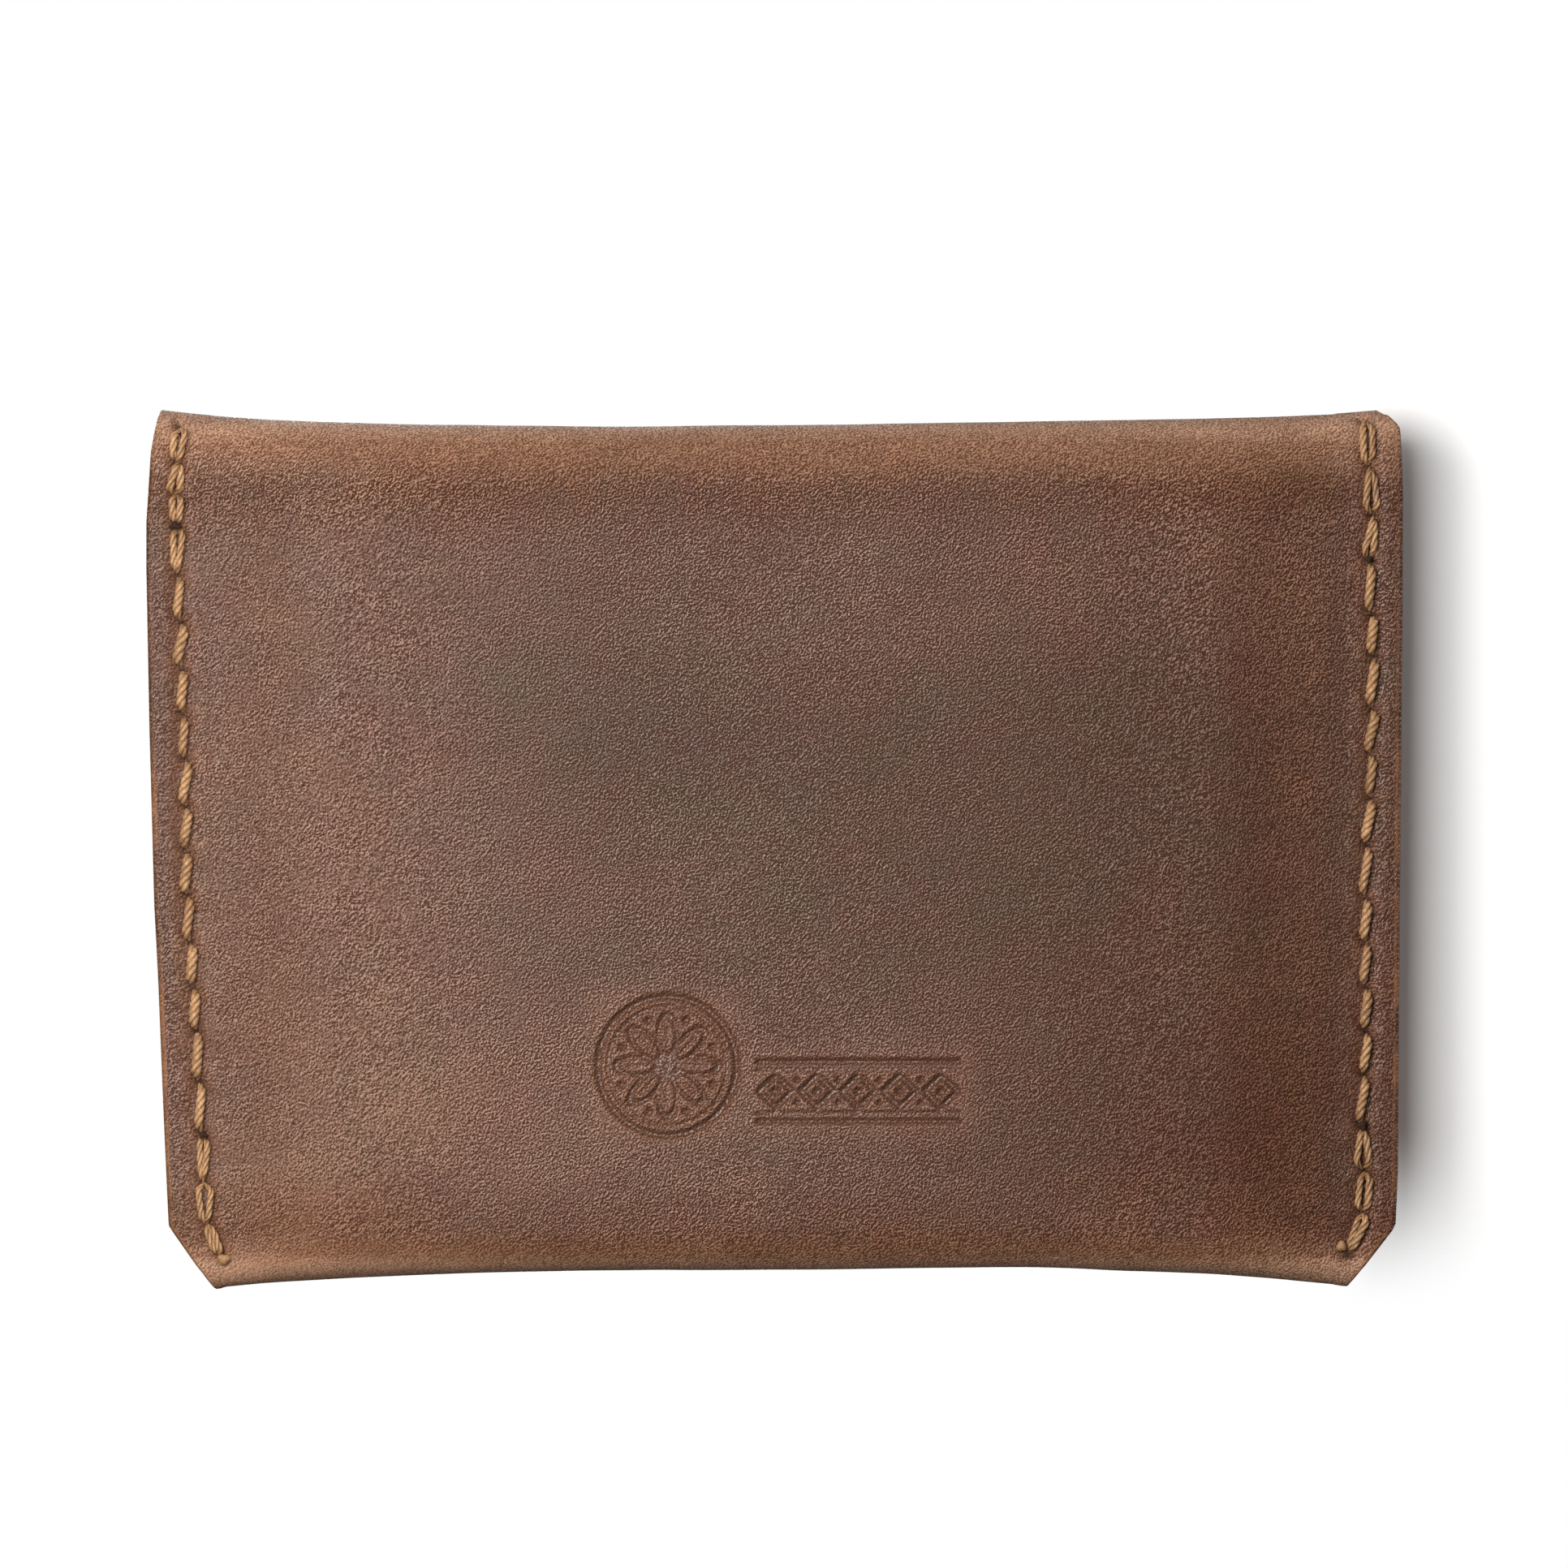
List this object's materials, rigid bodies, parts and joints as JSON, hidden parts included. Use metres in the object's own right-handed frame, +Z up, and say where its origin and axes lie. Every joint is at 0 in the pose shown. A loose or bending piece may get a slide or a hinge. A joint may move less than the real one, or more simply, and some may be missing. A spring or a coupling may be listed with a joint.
{
  "type": "minimalist wallet",
  "caption": "Slim leather card wallet: stitched pocket made from one folded strip, inner divider, and a flap over a soft top fold that closes with a snap.",
  "frame": {"origin": "middle of the bounding box in X and Y, lowest point in Z", "axes": "+X across the width, +Z up towards the top fold, -Y out of the plain back panel, +Y out of the flap and snap side"},
  "size_m": [0.1048, 0.012, 0.0734],
  "materials": {
    "shell_leather": "waxed pull-up, worn",
    "divider_leather": "suede-backed, natural edge",
    "thread": "waxed linen",
    "snap_brass": "antique brass",
    "spring_steel": "plain"
  },
  "bodies": {
    "body": {"leather_body": "shell_leather", "inner_divider": "divider_leather", "left_seam_thread": "thread", "right_seam_thread": "thread", "snap_stud": "snap_brass", "snap_post": "snap_brass"},
    "fold_lower": {"flap_fold_lower": "shell_leather"},
    "fold_upper": {"flap_fold_upper": "shell_leather"},
    "flap": {"flap": "shell_leather", "snap_cap": "snap_brass", "snap_socket": "snap_brass", "snap_spring": "spring_steel"}
  },
  "joints": [
    {"name": "fold_bend_lower", "type": "hinge", "parent": "body", "child": "fold_lower", "pos_m": [0, -0.00531, 0.06928], "axis": [1, 0, 0], "range_deg": [0, 60]},
    {"name": "fold_bend_middle", "type": "hinge", "parent": "fold_lower", "child": "fold_upper", "pos_m": [0, -0.0005, 0.07205], "axis": [1, 0, 0], "range_deg": [0, 60]},
    {"name": "flap_open", "type": "hinge", "parent": "fold_upper", "child": "flap", "pos_m": [0, 0.00431, 0.06928], "axis": [1, 0, 0], "range_deg": [0, 60]}
  ],
  "couplings": [
    {"joint": "fold_bend_lower", "follows": "flap_open", "ratio": 1},
    {"joint": "fold_bend_middle", "follows": "flap_open", "ratio": 1}
  ]
}
